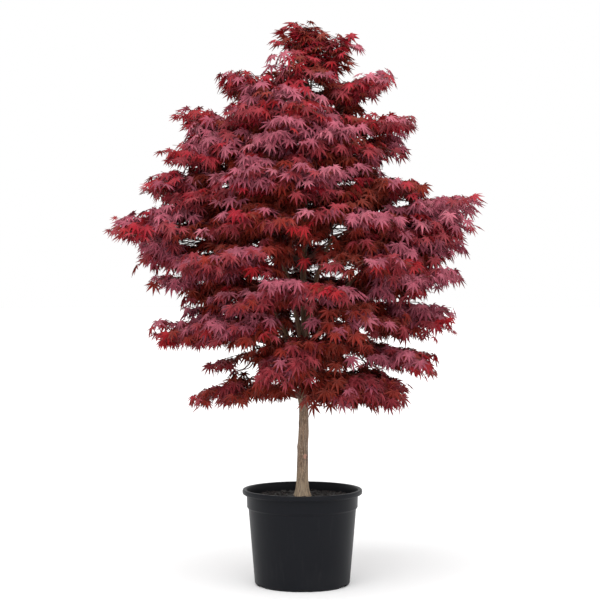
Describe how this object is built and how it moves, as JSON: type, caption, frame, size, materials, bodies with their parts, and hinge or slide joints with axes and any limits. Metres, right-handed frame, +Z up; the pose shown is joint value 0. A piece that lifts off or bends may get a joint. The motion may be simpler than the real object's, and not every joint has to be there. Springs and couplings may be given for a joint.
{
  "type": "potted japanese maple",
  "caption": "Small upright japanese maple with red palmate leaves in flat drooping tiers, a slim bare trunk and a black nursery pot filled with bark mix.",
  "frame": {"origin": "middle of the pot's flat underside", "axes": "+Z up along the trunk, +Y away from the side that is seen as the front, +X to the right of that side"},
  "size_m": [1.1375, 0.952, 1.6588],
  "materials": {
    "pot_plastic": "satin",
    "potting_mix": "matte",
    "bark": "matte",
    "leaves": "satin"
  },
  "bodies": {
    "root": {"pot": "pot_plastic", "soil": "potting_mix", "trunk": "bark", "bough_left_low": "bark", "bough_right_low": "bark", "bough_front_low": "bark", "bough_back_low": "bark", "bough_left_high": "bark", "bough_right_high": "bark", "bough_front_right_low": "bark", "bough_back_high": "bark", "bough_front_left_high": "bark", "bough_front_right_high": "bark", "foliage_1_left": "leaves", "foliage_1_front_left": "leaves", "foliage_1_front_right": "leaves", "foliage_1_right": "leaves", "foliage_1_back": "leaves", "foliage_2_left": "leaves", "foliage_2_front": "leaves", "foliage_2_right": "leaves", "foliage_2_back": "leaves", "foliage_3_left": "leaves", "foliage_3_front_left": "leaves", "foliage_3_front_right": "leaves", "foliage_3_right": "leaves", "foliage_3_back": "leaves", "foliage_4_left": "leaves", "foliage_4_front": "leaves", "foliage_4_right": "leaves", "foliage_4_back": "leaves", "foliage_5_left": "leaves", "foliage_5_front_left": "leaves", "foliage_5_front_right": "leaves", "foliage_5_right": "leaves", "foliage_5_back": "leaves", "foliage_6_left": "leaves", "foliage_6_front_left": "leaves", "foliage_6_front_right": "leaves", "foliage_6_right": "leaves", "foliage_6_back": "leaves", "foliage_7_left": "leaves", "foliage_7_front": "leaves", "foliage_7_right": "leaves", "foliage_7_back": "leaves", "foliage_8_left": "leaves", "foliage_8_front": "leaves", "foliage_8_right": "leaves", "foliage_8_back": "leaves", "foliage_9_left": "leaves", "foliage_9_front": "leaves", "foliage_9_right": "leaves", "foliage_9_back": "leaves", "foliage_10_left": "leaves", "foliage_10_front": "leaves", "foliage_10_right": "leaves", "foliage_10_back": "leaves", "foliage_11_left": "leaves", "foliage_11_right": "leaves"}
  },
  "joints": []
}
